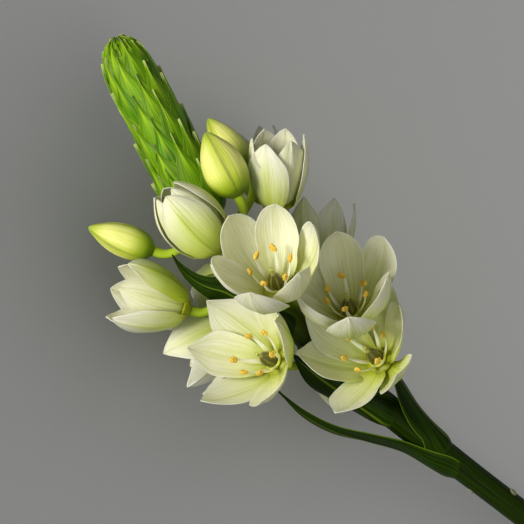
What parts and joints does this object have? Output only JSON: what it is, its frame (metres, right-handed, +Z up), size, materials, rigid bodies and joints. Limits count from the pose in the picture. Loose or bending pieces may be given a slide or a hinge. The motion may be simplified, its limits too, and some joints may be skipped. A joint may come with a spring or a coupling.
{
  "type": "star of bethlehem flower",
  "caption": "Cut flowering stem lying on its side: white star-shaped flowers and green buds on short stalks, under a long green spire of bracts.",
  "frame": {"origin": "on the surface that the stem lies on, under the middle of its length and width", "axes": "+X along the length towards the cut end, +Z up off the surface, towards the viewer"},
  "size_m": [0.2424, 0.068, 0.0771],
  "materials": {
    "tepal_white": "petal, cream white, matte",
    "anther_gold": "stamen, golden pollen, matte",
    "ovary_olive": "ovary, dark olive, glossy",
    "bud_green": "closed bud, yellow-green, satin",
    "spire_green": "bracts, fresh green, satin",
    "stem_green": "stem and leaf, dark green, satin"
  },
  "bodies": {
    "root": {"bloom_centre_ovary": "ovary_olive", "bloom_centre_stamens": "anther_gold", "bloom_centre_tepals": "tepal_white", "bloom_left_back_ovary": "ovary_olive", "bloom_left_back_stamens": "anther_gold", "bloom_left_back_tepals": "tepal_white", "bloom_left_low_ovary": "ovary_olive", "bloom_left_low_stamens": "anther_gold", "bloom_left_low_tepals": "tepal_white", "bloom_right_back_ovary": "ovary_olive", "bloom_right_back_stamens": "anther_gold", "bloom_right_back_tepals": "tepal_white", "bloom_right_low_ovary": "ovary_olive", "bloom_right_low_stamens": "anther_gold", "bloom_right_low_tepals": "tepal_white", "bloom_right_ovary": "ovary_olive", "bloom_right_stamens": "anther_gold", "bloom_right_tepals": "tepal_white", "bract_long_curved": "stem_green", "bract_mid_left": "stem_green", "bract_middle": "stem_green", "bract_under": "stem_green", "bract_upper_left": "stem_green", "bud_left": "bud_green", "bud_top": "bud_green", "bud_top_back": "bud_green", "bud_under": "bud_green", "cup_left_ovary": "ovary_olive", "cup_left_stamens": "anther_gold", "cup_left_tepals": "tepal_white", "cup_left_top_ovary": "ovary_olive", "cup_left_top_stamens": "anther_gold", "cup_left_top_tepals": "tepal_white", "cup_top_back_ovary": "ovary_olive", "cup_top_back_stamens": "anther_gold", "cup_top_back_tepals": "tepal_white", "cup_top_ovary": "ovary_olive", "cup_top_stamens": "anther_gold", "cup_top_tepals": "tepal_white", "cup_under_left_ovary": "ovary_olive", "cup_under_left_stamens": "anther_gold", "cup_under_left_tepals": "tepal_white", "cup_under_low_ovary": "ovary_olive", "cup_under_low_stamens": "anther_gold", "cup_under_low_tepals": "tepal_white", "cup_under_right_ovary": "ovary_olive", "cup_under_right_stamens": "anther_gold", "cup_under_right_tepals": "tepal_white", "sheath_right": "stem_green", "spire": "spire_green", "stem": "stem_green"}
  },
  "joints": []
}
